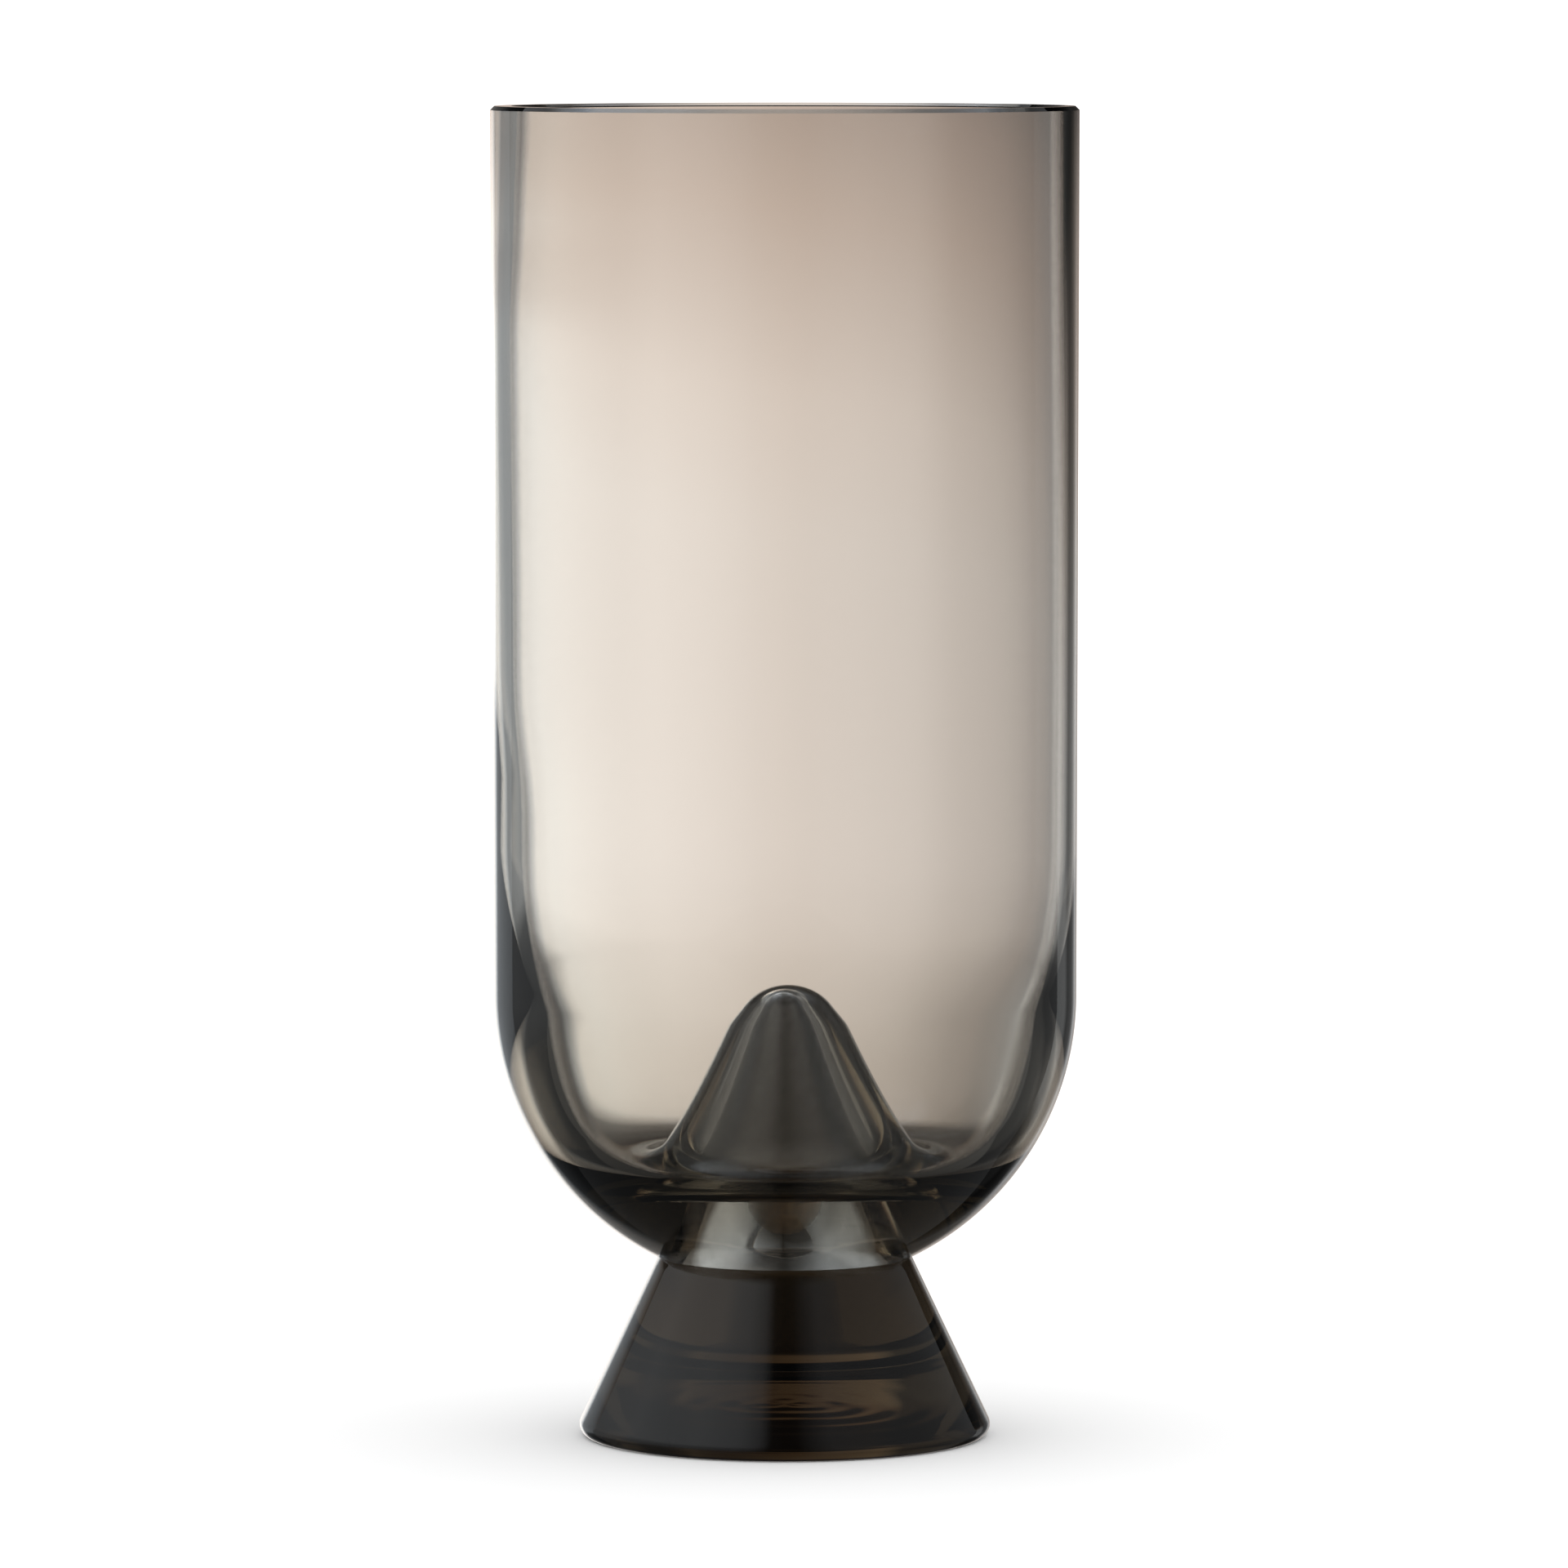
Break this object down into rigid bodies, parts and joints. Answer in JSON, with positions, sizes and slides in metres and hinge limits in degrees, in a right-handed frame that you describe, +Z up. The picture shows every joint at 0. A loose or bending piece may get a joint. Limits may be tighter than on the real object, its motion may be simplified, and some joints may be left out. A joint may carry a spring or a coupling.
{
  "type": "footed glass vase",
  "caption": "Smoked glass cylinder vase: tall straight bowl with a round bottom, on a solid flared conical foot whose core rises into a rounded glass peak inside the bowl.",
  "frame": {"origin": "centre of the circle the foot stands on, on the table plane", "axes": "+Z up along the axis that every piece is turned about; X and Y are level and interchangeable"},
  "size_m": [0.1322, 0.1322, 0.3],
  "materials": {
    "bowl_glass": "polished, transparent grey-brown smoke tint",
    "peak_glass": "polished, the same tint, nearly black where the glass is thick",
    "foot_glass": "polished, the same tint, nearly black where the glass is thick"
  },
  "bodies": {
    "root": {"bowl": "bowl_glass", "peak": "peak_glass", "foot": "foot_glass"}
  },
  "joints": []
}
